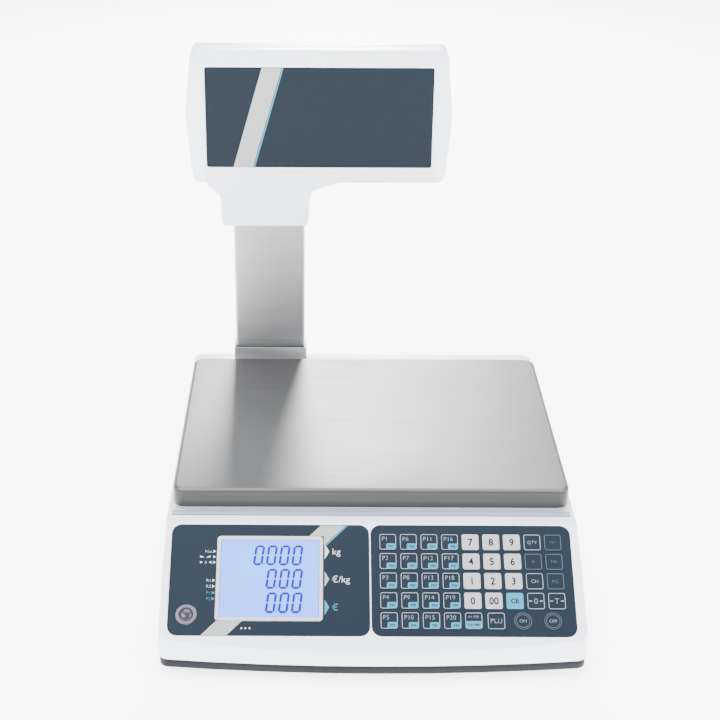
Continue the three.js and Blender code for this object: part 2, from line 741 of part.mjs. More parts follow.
function headFrontShell() {
  let shell = frontHalf(0).subtract(frontHalf(HEAD.wall));
  for (const [x, z] of headScrewPlaces()) {
    shell = shell.add(crossways(4.5, x, z, headFrontY + 1.9, partingY - 0.2, 16));
    shell = shell.subtract(crossways(3.3, x, z, headFrontY, headFrontY + 5, 16));
    shell = shell.subtract(crossways(1.7, x, z, headFrontY, partingY + 1, 12));
  }
  shell = shell.subtract(prismAlongY(windowOutline(0), headFrontY - 2, headFrontY + WINDOW.recess));
  const middle = (neckLeftX + neckRightX) / 2;
  const label = rectangle(
    middle - LABEL.width / 2,
    middle + LABEL.width / 2,
    above(LABEL.bottom),
    above(LABEL.top),
    2,
  );
  const face = headFrontY + HEAD.neckSetBack;
  shell = shell.subtract(prismAlongY(outline(label), face - 2, face + LABEL.deep));
  return shell.subtract(columnHole());
}

const customerWindow = (inset) => {
  const corners = rectangle(CUSTOMER.left, CUSTOMER.right, above(CUSTOMER.bottom), above(CUSTOMER.top), 2);
  return outline(corners, inset, 3);
};
const customerOverlay = (inset) => {
  const corners = rectangle(
    WINDOW.left + 1,
    WINDOW.right - 1,
    above(WINDOW.bottom + 1),
    above(WINDOW.top - 1),
    WINDOW.corner,
  );
  return outline(corners, inset);
};

function headRearShell() {
  let shell = rearHalf(0).subtract(rearHalf(HEAD.wall));
  for (const [x, z] of headScrewPlaces()) {
    shell = shell.add(crossways(4.5, x, z, partingY + GAP + 0.2, headRearY - 2, 16));
    shell = shell.subtract(crossways(1.4, x, z, partingY - 1, partingY + 13, 12));
  }
  shell = shell.subtract(prismAlongY(customerOverlay(-GAP), headRearY - leftRecess, headRearY + 2));
  shell = shell.subtract(prismAlongY(customerWindow(-GAP), headRearY - 8, headRearY + 2));
  return shell.subtract(columnHole());
}

// ---- the assembly ----
place("upper_housing", upperHousing(), whiteAbs());
place("lower_housing", lowerHousing(), greyAbs());
place("base_frame", baseFrame(), zincSteel());

for (const [i, [x, y]] of postPlaces().entries()) {
  const head = TRAY.bottom + 2.8;
  bolt(`housing_screw_${i + 1}`, x, y, POST.bore - 0.3, postBottom + 7, head, POST.r - 1.1, 2.4);
}

for (const [i, [x, y]] of footPlaces().entries()) {
  const wheelLow = FOOT.padH + GAP;
  const pad = upright(FOOT.padR, x, y, 0, FOOT.padH);
  const socket = upright(FOOT.stud + GAP, x, y, FOOT.padH - 1.5, FOOT.padH + 1, 12);
  place(`foot_pad_${i + 1}`, pad.subtract(socket), blackRubber());
  let screw = upright(FOOT.wheelR, x, y, wheelLow, wheelLow + FOOT.wheelH);
  screw = screw.add(upright(FOOT.stud, x, y, FOOT.padH - 1.5 + GAP, FOOT.studTop, 12));
  place(`foot_screw_${i + 1}`, screw, zincSteel());
}

function batteryDoor() {
  const half = DOOR.length / 2;
  const y0 = batteryY - DOOR.width / 2;
  const y1 = batteryY + DOOR.width / 2;
  const rounded = [
    [y0, TRAY.bottom, 0.3],
    [y1, TRAY.bottom, 1.2],
    [y1, trayFloorTop, 1.2],
    [y0, trayFloorTop, 0.3],
  ];
  const plate = prism(outline(rounded, 0, 4), BATTERY.x - half, BATTERY.x + half).rotate([90, 0, 90]);
  const grip = box(BATTERY.x - 10, BATTERY.x + 10, y0 + 4, y0 + 7, TRAY.bottom - 1, TRAY.bottom + 1);
  return plate.subtract(grip);
}
place("battery_door", batteryDoor(), greyAbs());

function batteryCase() {
  const x0 = BATTERY.x - BATTERY.length / 2;
  const y0 = batteryY - BATTERY.width / 2;
  const low = trayFloorTop + GAP;
  const body = outline(rectangle(x0, x0 + BATTERY.length, y0, y0 + BATTERY.width, 3), 0, 3);
  const block = prism(body, low, low + BATTERY.height);
  const tabs = [0.25, 0.75].map((share) => {
    const y = y0 + BATTERY.width * share;
    return box(x0 - 5, x0 + 1, y - 2.4, y + 2.4, low + 8, low + 8.8);
  });
  return join(block, ...tabs);
}
place("battery", batteryCase(), blackPlastic());

function batteryStrap() {
  const half = 9;
  const t = 1;
  const y0 = batteryY - BATTERY.width / 2 - GAP;
  const y1 = batteryY + BATTERY.width / 2 + GAP;
  const top = trayFloorTop + BATTERY.height + 2 * GAP;
  const low = frameTop + GAP;
  const [x0, x1] = [BATTERY.x - half, BATTERY.x + half];
  return join(
    box(x0, x1, y0 - t, y1 + t, top, top + t),
    box(x0, x1, y0 - t, y0, low, top + 0.5),
    box(x0, x1, y1, y1 + t, low, top + 0.5),
    box(x0, x1, middleY + FRAME.beam / 2 - 10, y0 - 0.5, low, low + t),
    box(x0, x1, y1 + 0.5, rearFootY - FRAME.tie / 2 + 9, low, low + t),
  );
}
place("battery_strap", batteryStrap(), zincSteel());

function powerSupply() {
  const low = trayFloorTop + GAP;
  const { x, width, depth, height } = SUPPLY;
  const y = supplyY;
  const inset = 9; // how far the coil stands out of the core, and its ends out of the coil
  const halfCore = depth / 2 - inset;
  const core = box(x - width / 2, x + width / 2, y - halfCore, y + halfCore, low, low + height);
  const halfCoil = width / 2 - inset;
  const coil = box(x - halfCoil, x + halfCoil, y - depth / 2, y + depth / 2, low + 6, low + height - 6);
  const foot = box(x - width / 2 - 6, x + width / 2 + 6, y - 8, y + 8, low, low + 1.5);
  return join(core, coil, foot);
}
place("transformer", powerSupply(), finish(0x6c6a62, 0.6, 0.4));

function mainsInlet() {
  const { x, z, width, height, deep, flange, proud, wall, pin } = INLET;
  const c = GAP;
  const [hw, hh] = [width / 2, height / 2];
  const y0 = rearY - deep;
  let body = box(x - hw + c, x + hw - c, y0, rearY + proud, z - hh + c, z + hh - c);
  const [fw, fh] = [hw + flange, hh + flange];
  body = body.add(box(x - fw, x + fw, rearY + c, rearY + proud, z - fh, z + fh));
  const [iw, ih] = [hw - wall, hh - wall];
  const inside = box(x - iw, x + iw, y0 + wall, rearY + proud + 1, z - ih, z + ih);
  body = body.subtract(inside);
  for (const [dx, dz] of [[-7, -2], [0, 2], [7, -2]]) {
    body = body.add(box(x + dx - pin / 2, x + dx + pin / 2, y0 + wall - 0.5, rearY - 4, z + dz - 4, z + dz));
  }
  return body;
}
place("mains_inlet", mainsInlet(), blackPlastic());

function serialPort() {
  const { x, z, width, height, deep, flange, proud } = PORT;
  const [hw, hh] = [width / 2 - GAP, height / 2 - GAP];
  const insert = box(x - hw, x + hw, rearY - deep, rearY + proud, z - hh, z + hh);
  const plate = box(x - hw - flange, x + hw + flange, rearY + GAP, rearY + proud, z - hh - 1.2, z + hh + 1.2);
  let port = insert.add(plate);
  for (const [row, count] of [[1.4, 5], [-1.4, 4]]) {
    for (let i = 0; i < count; i += 1) {
      const dx = (i - (count - 1) / 2) * 2.77;
      port = port.subtract(crossways(0.55, x + dx, z + row, rearY - 3, rearY + proud + 1, 6));
    }
  }
  return port;
}
place("serial_port", serialPort(), zincSteel());

// operator panel pieces, in the panel's frame
function displayOverlay() {
  let sheet = prism(leftOverlay(0), -OVERLAY.thick, 0, [lcdOutline(-GAP)]);
  sheet = sheet.subtract(upright(LEVEL.r + GAP, levelX, levelY, -2, 1));
  for (const i of [-1, 0, 1]) {
    sheet = sheet.subtract(upright(LEDS.r + 0.2, ledX + i * LEDS.pitch, -LEDS.fromTop, -2, 1, 12));
  }
  return sheet;
}
place("display_overlay", displayOverlay(), blueFilm(), panel);

const bezel = prism(lcdOutline(0), -OVERLAY.thick, GAP, [lcdOutline(LCD.bezel)]);
place("display_bezel", bezel, finish(0xdcd8e2, 0.4), panel);
place("display_lcd", prism(lcdOutline(LCD.bezel + GAP), -LCD.glass - 0.4, -0.4), clearGlass(), panel);
const backlight = prism(lcdOutline(LCD.bezel + GAP), -LCD.glass - 0.7 - 4, -LCD.glass - 0.7);
place("display_backlight", backlight, finish(0xeef2ff, 0.5), panel);

function keypadOverlay() {
  let sheet = prism(rightOverlay(0), -OVERLAY.thick, 0);
  for (const { x, y, round } of keyPlaces()) {
    const half = KEY.size / 2;
    const square = rectangle(x - half, x + half, y - half, y + half, 0);
    const key = round
      ? upright(round, x, y, -0.2, KEY.rise)
      : skin([{ points: outline(square), z: -0.2 }, { points: outline(square, KEY.lean), z: KEY.rise }]);
    sheet = sheet.add(key);
  }
  return sheet;
}
place("keypad_overlay", keypadOverlay(), blueFilm(), panel);

function keypadMembrane() {
  const top = -OVERLAY.thick - GAP;
  const sheet = prism(rightOverlay(1.5), top - MEMBRANE.thick, top);
  return sheet.add(box(...keypadTail(0), -MEMBRANE.tailDeep, top - 0.1));
}
place("keypad_membrane", keypadMembrane(), finish(0xc9b26a, 0.5), panel);

const lightGuide = [-1, 0, 1].map((i) => upright(LEDS.r, ledX + i * LEDS.pitch, -LEDS.fromTop, -2, 0.1, 10));
const guideBar = box(ledX - 5, ledX + 5, -LEDS.fromTop - 1.5, -LEDS.fromTop + 1.5, -5, -leftRecess - 0.3);
place("status_light_guide", join(guideBar, ...lightGuide), finish(0xa9a498, 0.3), panel);

function levelCup() {
  const body = upright(LEVEL.r - LEVEL.rim, levelX, levelY, -LEVEL.deep, -OVERLAY.thick + 0.1);
  const rim = upright(LEVEL.r, levelX, levelY, -OVERLAY.thick, GAP);
  const bowl = upright(LEVEL.r - LEVEL.rim - LEVEL.wall, levelX, levelY, -LEVEL.deep + LEVEL.wall, 2);
  return body.add(rim).subtract(bowl);
}
place("level_cup", levelCup(), finish(0x575364, 0.35), panel);

function levelLens() {
  const r = LEVEL.r - LEVEL.rim - LEVEL.wall - GAP;
  const profile = [new THREE.Vector2(0, -2), new THREE.Vector2(r, -2), new THREE.Vector2(r, 0.2)];
  for (let i = 1; i <= 3; i += 1) {
    const at = (Math.PI / 2) * (i / 3);
    profile.push(new THREE.Vector2(i === 3 ? 0 : r * Math.cos(at), 0.2 + 1.2 * Math.sin(at)));
  }
  const lens = new THREE.LatheGeometry(profile, 16);
  lens.rotateX(Math.PI / 2);
  return solid(lens).translate([levelX, levelY, 0]);
}
place("level_lens", levelLens(), finish(0x8a84a0, 0.1), panel);

function mainBoard() {
  const top = -BOARD.deep + BOARD.thick;
  const y1 = -BOARD.fromTop;
  let board = box(BOARD.x0, BOARD.x1, y1 - BOARD.length, y1, -BOARD.deep, top);
  const chips = [[-60, -30, 22, 16, 2.4], [20, -30, 14, 14, 1.6], [60, -24, 26, 8, 5], [84, -58, 10, 18, 7]];
  for (const [x, y, w, d, h] of chips) {
    board = board.add(box(x - w / 2, x + w / 2, y - d / 2, y + d / 2, top - 0.2, top + h));
  }
  return board;
}
place("main_board", mainBoard(), greenBoard(), panel);

// weighing system
place("load_cell_pedestal", pedestal(), aluminium());
const cellBores = [
  upright(2.2, -stemX, middleY, cellBottom - 1, cellBottom + 12, 12),
  upright(2.2, stemX, middleY, cellTop - 12, cellTop + 1, 12),
];
place("load_cell", cut(loadCell(), ...cellBores), aluminium());
bolt("load_cell_screw", -stemX, middleY, 1.9, cellBottom + 10, TRAY.bottom + 2.4, 3.6, 2.2);
const stopNut = upright(6, stemX, middleY, frameTop + GAP, frameTop + 4, 6);
const stopPin = upright(3, stemX, middleY, frameTop + GAP, cellBottom - STOP_CLEARANCE, 16);
place("overload_stop", join(stopNut, stopPin), zincSteel());
place("platter_spider", spider(), aluminium());
bolt("spider_screw", stemX, middleY, 1.9, cellTop - 10, spiderTop + GAP, 3.6, 3);
for (const [i, [sx, sy]] of [[-1, -1], [1, -1], [-1, 1], [1, 1]].entries()) {
  const x = sx * SPIDER.padX;
  const y = middleY + sy * SPIDER.padY;
  place(`spider_pad_${i + 1}`, upright(SPIDER.padR, x, y, spiderTop + GAP, padTop), blackRubber());
}
place("platter", platter(), brushedSteel());

// column and its fastenings
const cableHole = (z) => crossways(5, poleX, z, poleFrontY - 6, poleFrontY + 4, 20);
const poleScrewHoles = POLE_SCREWS.map((z) => crossways(2.3, poleX, z, poleFrontY - 6, poleFrontY + 4, 12));
place("pole_column", cut(column(columnTop), cableHole(CABLE_ENTRY), ...poleScrewHoles), brushedSteel());
place("pole_bracket", cut(columnBracket(), cableHole(CABLE_ENTRY), ...poleScrewHoles), zincSteel());
for (const [i, z] of POLE_SCREWS.entries()) {
  const face = poleFrontY - GAP - BRACKET.wall - GAP;
  const shank = crossways(2, poleX, z, face - 0.1, poleFrontY + 7, 12);
  const head = crossways(3.6, poleX, z, face - 2.4, face, 16);
  place(`pole_screw_${i + 1}`, join(shank, head), zincSteel());
}

// display head
place("head_front_shell", headFrontShell(), whiteAbs());
place("head_rear_shell", headRearShell(), whiteAbs());
const frontPanel = prismAlongY(
  windowOutline(GAP),
  headFrontY + WINDOW.recess - WINDOW.panel - GAP,
  headFrontY + WINDOW.recess - GAP,
);
place("head_front_panel", frontPanel, blueFilm());
const rearOverlay = prismAlongY(
  customerOverlay(0),
  headRearY - OVERLAY.thick,
  headRearY,
  [customerWindow(-GAP)],
);
place("head_rear_overlay", rearOverlay, blueFilm());
const customerLcd = prismAlongY(customerWindow(0.2), headRearY - CUSTOMER.deep, headRearY - GAP);
place("customer_lcd", customerLcd, clearGlass());
const customerBoardY = headRearY - CUSTOMER.deep - GAP - BOARD.thick;
const customerBoard = box(
  CUSTOMER.left - 8,
  CUSTOMER.right + 8,
  customerBoardY,
  customerBoardY + BOARD.thick,
  above(CUSTOMER.bottom - BOARD_EDGE),
  above(CUSTOMER.top + BOARD_EDGE),
);
place("customer_board", customerBoard, greenBoard());
for (const [i, [x, z]] of headScrewPlaces().entries()) {
  const shank = crossways(1.1, x, z, headFrontY + 4, partingY + 11, 10);
  const head = crossways(2.9, x, z, headFrontY + 2, headFrontY + 4.2, 16);
  place(`head_screw_${i + 1}`, join(shank, head), zincSteel());
}

// The display cable runs from the main board, under the deck, through the column and into the head.
function displayCable() {
  const inside = poleFrontY + POLE.depth / 2;
  const boardMiddle = customerBoardY + BOARD.thick / 2;
  const route = [
    [-72, 8, 50],
    [-80, 34, 62],
    [-90, 70, 67],
    [-94, 120, 68],
    [-92, 180, 67],
    [-85, poleFrontY - 26, CABLE_ENTRY],
    [poleX, poleFrontY - 8, CABLE_ENTRY],
    [poleX, inside - 2, CABLE_ENTRY + 5],
    [poleX, inside, CABLE_ENTRY + 18],
    [poleX, inside, 150],
    [poleX, inside, 220],
    [poleX, inside, columnTop - 8],
    [poleX, inside + 3, columnTop + 3],
    [poleX, boardMiddle, columnTop + 11],
    [poleX, boardMiddle, above(CUSTOMER.bottom - BOARD_EDGE) - 2 * GAP],
  ].map((p) => new THREE.Vector3(...p));
  const section = new THREE.Shape();
  section.absarc(0, 0, CABLE_R, 0, 2 * Math.PI);
  return new THREE.ExtrudeGeometry(section, {
    steps: 44,
    curveSegments: 4,
    bevelEnabled: false,
    extrudePath: new THREE.CatmullRomCurve3(route, false, "centripetal"),
  });
}
place("display_cable", solid(displayCable()), finish(0x33343a, 0.6));

export default scale;
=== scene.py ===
import bpy
import bmesh
import json
import math
from mathutils import Matrix, Vector


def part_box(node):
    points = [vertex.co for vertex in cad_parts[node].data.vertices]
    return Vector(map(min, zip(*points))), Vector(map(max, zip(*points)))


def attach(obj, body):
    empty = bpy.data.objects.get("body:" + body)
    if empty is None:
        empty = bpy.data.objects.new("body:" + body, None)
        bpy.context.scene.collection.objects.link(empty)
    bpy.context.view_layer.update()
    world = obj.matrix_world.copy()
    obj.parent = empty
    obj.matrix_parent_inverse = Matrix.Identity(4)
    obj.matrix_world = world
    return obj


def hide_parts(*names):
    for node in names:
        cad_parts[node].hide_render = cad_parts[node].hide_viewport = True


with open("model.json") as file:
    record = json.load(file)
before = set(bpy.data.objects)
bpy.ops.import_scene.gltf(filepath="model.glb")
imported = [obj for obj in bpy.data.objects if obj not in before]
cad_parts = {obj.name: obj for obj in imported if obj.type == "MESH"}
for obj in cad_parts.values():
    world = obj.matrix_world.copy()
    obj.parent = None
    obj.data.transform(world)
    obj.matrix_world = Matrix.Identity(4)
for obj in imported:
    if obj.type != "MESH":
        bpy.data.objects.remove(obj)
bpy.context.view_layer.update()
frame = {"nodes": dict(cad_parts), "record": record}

# ---- Studio -------------------------------------------------------------------------------------
# A long lens a little above the counter, to the left of the platter's middle, looking down at the
# operator's side. Four softboxes and a pale floor that glows a little give the plain catalogue light.
platter_low, platter_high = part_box("platter")
camera_data = bpy.data.cameras.new("camera")
camera_data.lens = 77.5
camera_data.sensor_width = 36.0
camera_data.shift_x = 0.0556
camera_data.clip_end = 20.0
camera = bpy.data.objects.new("camera", camera_data)
CAMERA_ASIDE, CAMERA_BACK, CAMERA_UP = -0.0383, 0.9915, 0.5743
LOOK_DOWN, ROLL = math.radians(25.3), math.radians(0.25)
camera.location = (CAMERA_ASIDE, platter_low[1] - CAMERA_BACK, platter_high[2] + CAMERA_UP)
tilt = Matrix.Rotation(math.radians(90.0) - LOOK_DOWN, 3, "X") @ Matrix.Rotation(ROLL, 3, "Z")
camera.rotation_euler = tilt.to_euler()
bpy.context.collection.objects.link(camera)
bpy.context.scene.camera = camera


def area_light(name, place, size, power):
    """A softbox aimed at the middle of the scale's base."""
    data = bpy.data.lights.new(name, "AREA")
    data.shape = "RECTANGLE"
    data.size, data.size_y = size
    data.energy = power
    lamp = bpy.data.objects.new(name, data)
    lamp.location = place
    lamp.rotation_euler = (Vector((0.0, 0.0, 0.1)) - Vector(place)).to_track_quat("-Z", "Y").to_euler()
    bpy.context.collection.objects.link(lamp)


area_light("key_softbox", (-1.1, -1.0, 1.7), (1.4, 1.0), 56.0)
area_light("fill_softbox", (1.3, -0.9, 1.2), (1.2, 1.2), 34.0)
area_light("top_softbox", (0.0, 0.3, 2.0), (1.6, 1.4), 50.0)
area_light("back_softbox", (0.0, 1.8, 0.95), (0.36, 0.9), 60.0)

world = bpy.data.worlds.new("studio_air")
world.use_nodes = True
world.node_tree.nodes["Background"].inputs["Color"].default_value = (0.93, 0.94, 1.0, 1.0)
world.node_tree.nodes["Background"].inputs["Strength"].default_value = 1.9
bpy.context.scene.world = world


def new_material(name, color, roughness, metallic=0.0):
    material = bpy.data.materials.new(name)
    material.use_nodes = True
    shader = material.node_tree.nodes["Principled BSDF"]
    shader.inputs["Base Color"].default_value = (*color, 1.0)
    shader.inputs["Roughness"].default_value = roughness
    shader.inputs["Metallic"].default_value = metallic
    return material, material.node_tree, shader


def grain(tree, scale, stretch=(1.0, 1.0, 1.0), detail=3.0):
    """Noise that follows the object's own coordinates, stretched along an axis for a brushed finish."""
    coordinates = tree.nodes.new("ShaderNodeTexCoord")
    mapping = tree.nodes.new("ShaderNodeMapping")
    mapping.inputs["Scale"].default_value = stretch
    noise = tree.nodes.new("ShaderNodeTexNoise")
    noise.inputs["Scale"].default_value = scale
    noise.inputs["Detail"].default_value = detail
    tree.links.new(coordinates.outputs["Object"], mapping.inputs["Vector"])
    tree.links.new(mapping.outputs["Vector"], noise.inputs["Vector"])
    return noise.outputs["Fac"]


def between(tree, source, low, high):
    """Maps the middle of a noise to a range of plain numbers."""
    span = tree.nodes.new("ShaderNodeMapRange")
    span.inputs["From Min"].default_value = 0.3
    span.inputs["From Max"].default_value = 0.7
    span.inputs["To Min"].default_value = low
    span.inputs["To Max"].default_value = high
    tree.links.new(source, span.inputs["Value"])
    return span.outputs["Result"]


def shade_between(tree, shader, source, dark, light):
    ramp = tree.nodes.new("ShaderNodeValToRGB")
    ramp.color_ramp.elements[0].position = 0.3
    ramp.color_ramp.elements[0].color = (*dark, 1.0)
    ramp.color_ramp.elements[1].position = 0.7
    ramp.color_ramp.elements[1].color = (*light, 1.0)
    tree.links.new(source, ramp.inputs["Fac"])
    tree.links.new(ramp.outputs["Color"], shader.inputs["Base Color"])


def bump(tree, shader, source, strength, distance):
    node = tree.nodes.new("ShaderNodeBump")
    node.inputs["Strength"].default_value = strength
    node.inputs["Distance"].default_value = distance
    tree.links.new(source, node.inputs["Height"])
    tree.links.new(node.outputs["Normal"], shader.inputs["Normal"])


def moulded(name, color, roughness, texture=4200.0, depth=0.00003, shift=0.03, gloss=0.5):
    """Injection-moulded plastic: spark-eroded micro texture and a slow drift in tone."""
    material, tree, shader = new_material(name, color, roughness)
    shader.inputs["Specular IOR Level"].default_value = gloss
    drift = grain(tree, 14.0, detail=2.0)
    lighter = tuple(min(1.0, c * (1.0 + shift)) for c in color)
    darker = tuple(c * (1.0 - shift) for c in color)
    shade_between(tree, shader, drift, darker, lighter)
    skin = grain(tree, texture, detail=2.0)
    tree.links.new(between(tree, skin, roughness - 0.05, roughness + 0.06), shader.inputs["Roughness"])
    bump(tree, shader, skin, 0.25, depth)
    return material


def paint(piece, material):
    piece.data.materials.clear()
    piece.data.materials.append(material)


floor_mesh = bpy.data.meshes.new("studio_floor")
REACH = 6.0
floor_corners = [(-REACH, -REACH, 0.0), (REACH, -REACH, 0.0), (REACH, REACH, 0.0), (-REACH, REACH, 0.0)]
floor_mesh.from_pydata(floor_corners, [], [(0, 1, 2, 3)])
floor = bpy.data.objects.new("studio_floor", floor_mesh)
bpy.context.collection.objects.link(floor)
floor_material, floor_tree, floor_shader = new_material("studio_paper", (0.97, 0.97, 0.97), 0.8)
floor_shader.inputs["Emission Color"].default_value = (1.0, 1.0, 1.0, 1.0)
floor_shader.inputs["Emission Strength"].default_value = 4.0
bump(floor_tree, floor_shader, grain(floor_tree, 300.0), 0.05, 0.0001)
floor.data.materials.append(floor_material)

# ---- Housings -----------------------------------------------------------------------------------
# The upper housing is one ABS moulding in satin white, and the tray below it a dark grey one. Both
# leave the mould with a small radius on every outside edge, which catches the light.
BODY_OF = {node: body for body, nodes in frame["record"]["behaviour"]["bodies"].items() for node in nodes}


def refined(node, width, material, segments=3, angle=24.0, smooth=True):
    """A copy of a CAD solid with its flat facets merged and its outside edges rounded."""
    source = frame["nodes"][node]
    mesh = source.data.copy()
    mesh.name = node + "_moulding"
    shape = bmesh.new()
    shape.from_mesh(mesh)
    bmesh.ops.remove_doubles(shape, verts=shape.verts, dist=2e-6)
    bmesh.ops.dissolve_limit(shape, angle_limit=math.radians(1.0), verts=shape.verts, edges=shape.edges)
    for face in shape.faces:
        face.smooth = smooth
    shape.to_mesh(mesh)
    shape.free()
    piece = bpy.data.objects.new(node + "_finished", mesh)
    bpy.context.collection.objects.link(piece)
    rounding = piece.modifiers.new("edge_radius", "BEVEL")
    rounding.width = width
    rounding.segments = segments
    rounding.limit_method = "ANGLE"
    rounding.angle_limit = math.radians(angle)
    rounding.use_clamp_overlap = True
    rounding.harden_normals = smooth
    paint(piece, material)
    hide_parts(node)
    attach(piece, BODY_OF[node])
    return piece


white_abs = moulded("white_abs", (0.80, 0.83, 0.885), 0.36)
grey_abs = moulded("grey_abs", (0.0085, 0.009, 0.0125), 0.48, texture=2600.0, depth=0.00005,
                   shift=0.12, gloss=0.12)
refined("upper_housing", 0.0009, white_abs)
refined("lower_housing", 0.0008, grey_abs, segments=2)
refined("battery_door", 0.0003, grey_abs, segments=2)

# ---- Platter ------------------------------------------------------------------------------------
# Deep-drawn stainless sheet, brushed from side to side, with a shallow embossed border and a skirt
# folded down all round. Years of goods sliding across it leave a few longer, fainter scratches.
def brushed(name, color, roughness, along, spread=0.05, strength=0.18, tone=0.05):
    material, tree, shader = new_material(name, color, roughness, 1.0)
    lines = grain(tree, 60.0, stretch=along, detail=6.0)
    long_lines = grain(tree, 9.0, stretch=along, detail=3.0)
    clouds = grain(tree, 7.0, detail=2.0)
    darker = tuple(c * (1.0 - tone) for c in color)
    lighter = tuple(min(1.0, c * (1.0 + tone)) for c in color)
    blend = tree.nodes.new("ShaderNodeMath")
    blend.operation = "ADD"
    tree.links.new(lines, blend.inputs[0])
    tree.links.new(long_lines, blend.inputs[1])
    half = tree.nodes.new("ShaderNodeMath")
    half.operation = "MULTIPLY"
    half.inputs[1].default_value = 0.5
    tree.links.new(blend.outputs["Value"], half.inputs[0])
    shade_between(tree, shader, half.outputs["Value"], darker, lighter)
    rough = tree.nodes.new("ShaderNodeMath")
    rough.operation = "ADD"
    tree.links.new(between(tree, lines, -spread, spread), rough.inputs[0])
    tree.links.new(between(tree, clouds, roughness - 0.03, roughness + 0.03), rough.inputs[1])
    tree.links.new(rough.outputs["Value"], shader.inputs["Roughness"])
    bump(tree, shader, lines, strength, 0.00004)
    return material


platter_steel = brushed("platter_steel", (0.118, 0.118, 0.117), 0.44, (0.35, 28.0, 28.0))
pan = refined("platter", 0.0004, platter_steel, segments=2, angle=28.0)
# The skirt's steep faces get a darker copy of the platter steel: painted shade, not a different finish of the
# metal.
skirt_painted_shade_steel = brushed("skirt_painted_shade_steel", (0.040, 0.040, 0.0395), 0.36, (0.35, 28.0, 28.0))
pan.data.materials.append(skirt_painted_shade_steel)
even = pan.modifiers.new("even_shading", "WEIGHTED_NORMAL")
even.keep_sharp = True
for face in pan.data.polygons:
    if abs(face.normal.z) < 0.6:
        face.material_index = 1

# ---- Column -------------------------------------------------------------------------------------
# A folded stainless channel with returned lips, brushed across its width. It stands in a low steel
# socket, and a press line runs across its face just above the socket.
column_steel = brushed("column_steel", (0.36, 0.36, 0.358), 0.52, (1.0, 1.0, 40.0), tone=0.07)
column_low, column_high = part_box("pole_column")
SHEET = 0.0015
LIP = 0.018
FOLD = 0.0024
PRESS_LINE = platter_high[2] + 0.009


def column_section(lean):
    """The channel's outline seen from above, as one closed loop, with its front moved by lean."""
    x0, x1 = column_low[0], column_high[0]
    y0, y1 = column_low[1] + lean, column_high[1]
    loop = []

    def corner(cx, cy, radius, start, turn):
        for step in range(5):
            a = math.radians(start + turn * step / 4.0)
            loop.append((cx + radius * math.cos(a), cy + radius * math.sin(a)))

    inner = FOLD - SHEET
    corner(x0 + FOLD, y0 + FOLD, FOLD, 180, 90)
    corner(x1 - FOLD, y0 + FOLD, FOLD, 270, 90)
    corner(x1 - FOLD, y1 - FOLD, FOLD, 0, 90)
    loop.extend([(x1 - LIP, y1), (x1 - LIP, y1 - SHEET)])
    corner(x1 - FOLD, y1 - FOLD, inner, 90, -90)
    corner(x1 - FOLD, y0 + FOLD, inner, 0, -90)
    corner(x0 + FOLD, y0 + FOLD, inner, 270, -90)
    corner(x0 + FOLD, y1 - FOLD, inner, 180, -90)
    loop.extend([(x0 + LIP, y1 - SHEET), (x0 + LIP, y1)])
    corner(x0 + FOLD, y1 - FOLD, FOLD, 90, 90)
    return loop


def lofted(name, loops, smooth=True):
    """A closed skin through equal loops of 3-D points, capped at both ends."""
    shape = bmesh.new()
    rows = [[shape.verts.new(p) for p in loop] for loop in loops]
    count = len(rows[0])
    for low, high in zip(rows, rows[1:]):
        for i in range(count):
            j = (i + 1) % count
            face = shape.faces.new((low[i], low[j], high[j], high[i]))
            face.smooth = smooth
    shape.faces.new(list(reversed(rows[0])))
    shape.faces.new(rows[-1])
    bmesh.ops.recalc_face_normals(shape, faces=shape.faces)
    mesh = bpy.data.meshes.new(name)
    shape.to_mesh(mesh)
    shape.free()
    piece = bpy.data.objects.new(name, mesh)
    bpy.context.collection.objects.link(piece)
    return piece


column_loops = []
for height, lean in (
    (column_low[2], 0.0010),
    (PRESS_LINE - 0.0016, 0.0010),
    (PRESS_LINE - 0.0010, 0.0008),
    (PRESS_LINE, 0.0001),
    (PRESS_LINE + 0.0006, 0.0),
    (column_high[2], 0.0),
):
    column_loops.append([(x, y, height) for x, y in column_section(lean)])
column = lofted("column_channel", column_loops)
column_edges = column.modifiers.new("fold_edges", "EDGE_SPLIT")
column_edges.split_angle = math.radians(35.0)
paint(column, column_steel)
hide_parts("pole_column")
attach(column, "base")

# ---- Display head -------------------------------------------------------------------------------
# Two ABS half shells close round the column's top and meet on a fine parting line. Their front edges
# are bevelled, and a shallow field for a label sits in the neck.
refined("head_front_shell", 0.0009, white_abs)
refined("head_rear_shell", 0.0009, white_abs)

# ---- Printed films ------------------------------------------------------------------------------
# The blue faces are polyester film, printed on the back and lightly textured on the front. All other
# colours on them are inks, so they lie as thin, flat layers on the film.
INK = 0.00005


def ink(name, color, roughness=0.38):
    """Film or ink: a fine, almost flat texture with little shine."""
    return moulded(name, color, roughness, texture=1500.0, depth=0.000002, shift=0.02, gloss=0.12)


film_blue = ink("film_blue", (0.0048, 0.0108, 0.0188), 0.4)
head_blue = ink("head_blue", (0.0030, 0.0078, 0.0142))
ink_white = ink("ink_white", (0.50, 0.54, 0.57))
ink_line = ink("ink_line", (0.27, 0.32, 0.36))
ink_grey = ink("ink_grey", (0.30, 0.31, 0.30))
ink_cyan = ink("ink_cyan", (0.035, 0.20, 0.30))
ink_dim = ink("ink_dim", (0.07, 0.10, 0.125))
ink_key = ink("ink_key", (0.33, 0.33, 0.35))
ink_dark = ink("ink_dark", (0.0025, 0.004, 0.006))

overlay_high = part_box("display_overlay")[1]
SLOPE = math.radians(35.3)
FILM = 0.0006
panel_origin = Vector((0.0, overlay_high[1] - FILM * math.sin(SLOPE), overlay_high[2]))


def on_panel(out=0.0):
    """Frame of the operator panel: x across, y up the slope, and out of the surface by the given amount."""
    turn = Matrix.Rotation(SLOPE, 4, "X")
    return Matrix.Translation(panel_origin) @ turn @ Matrix.Translation((0.0, 0.0, out))


head_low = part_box("head_front_panel")[0]


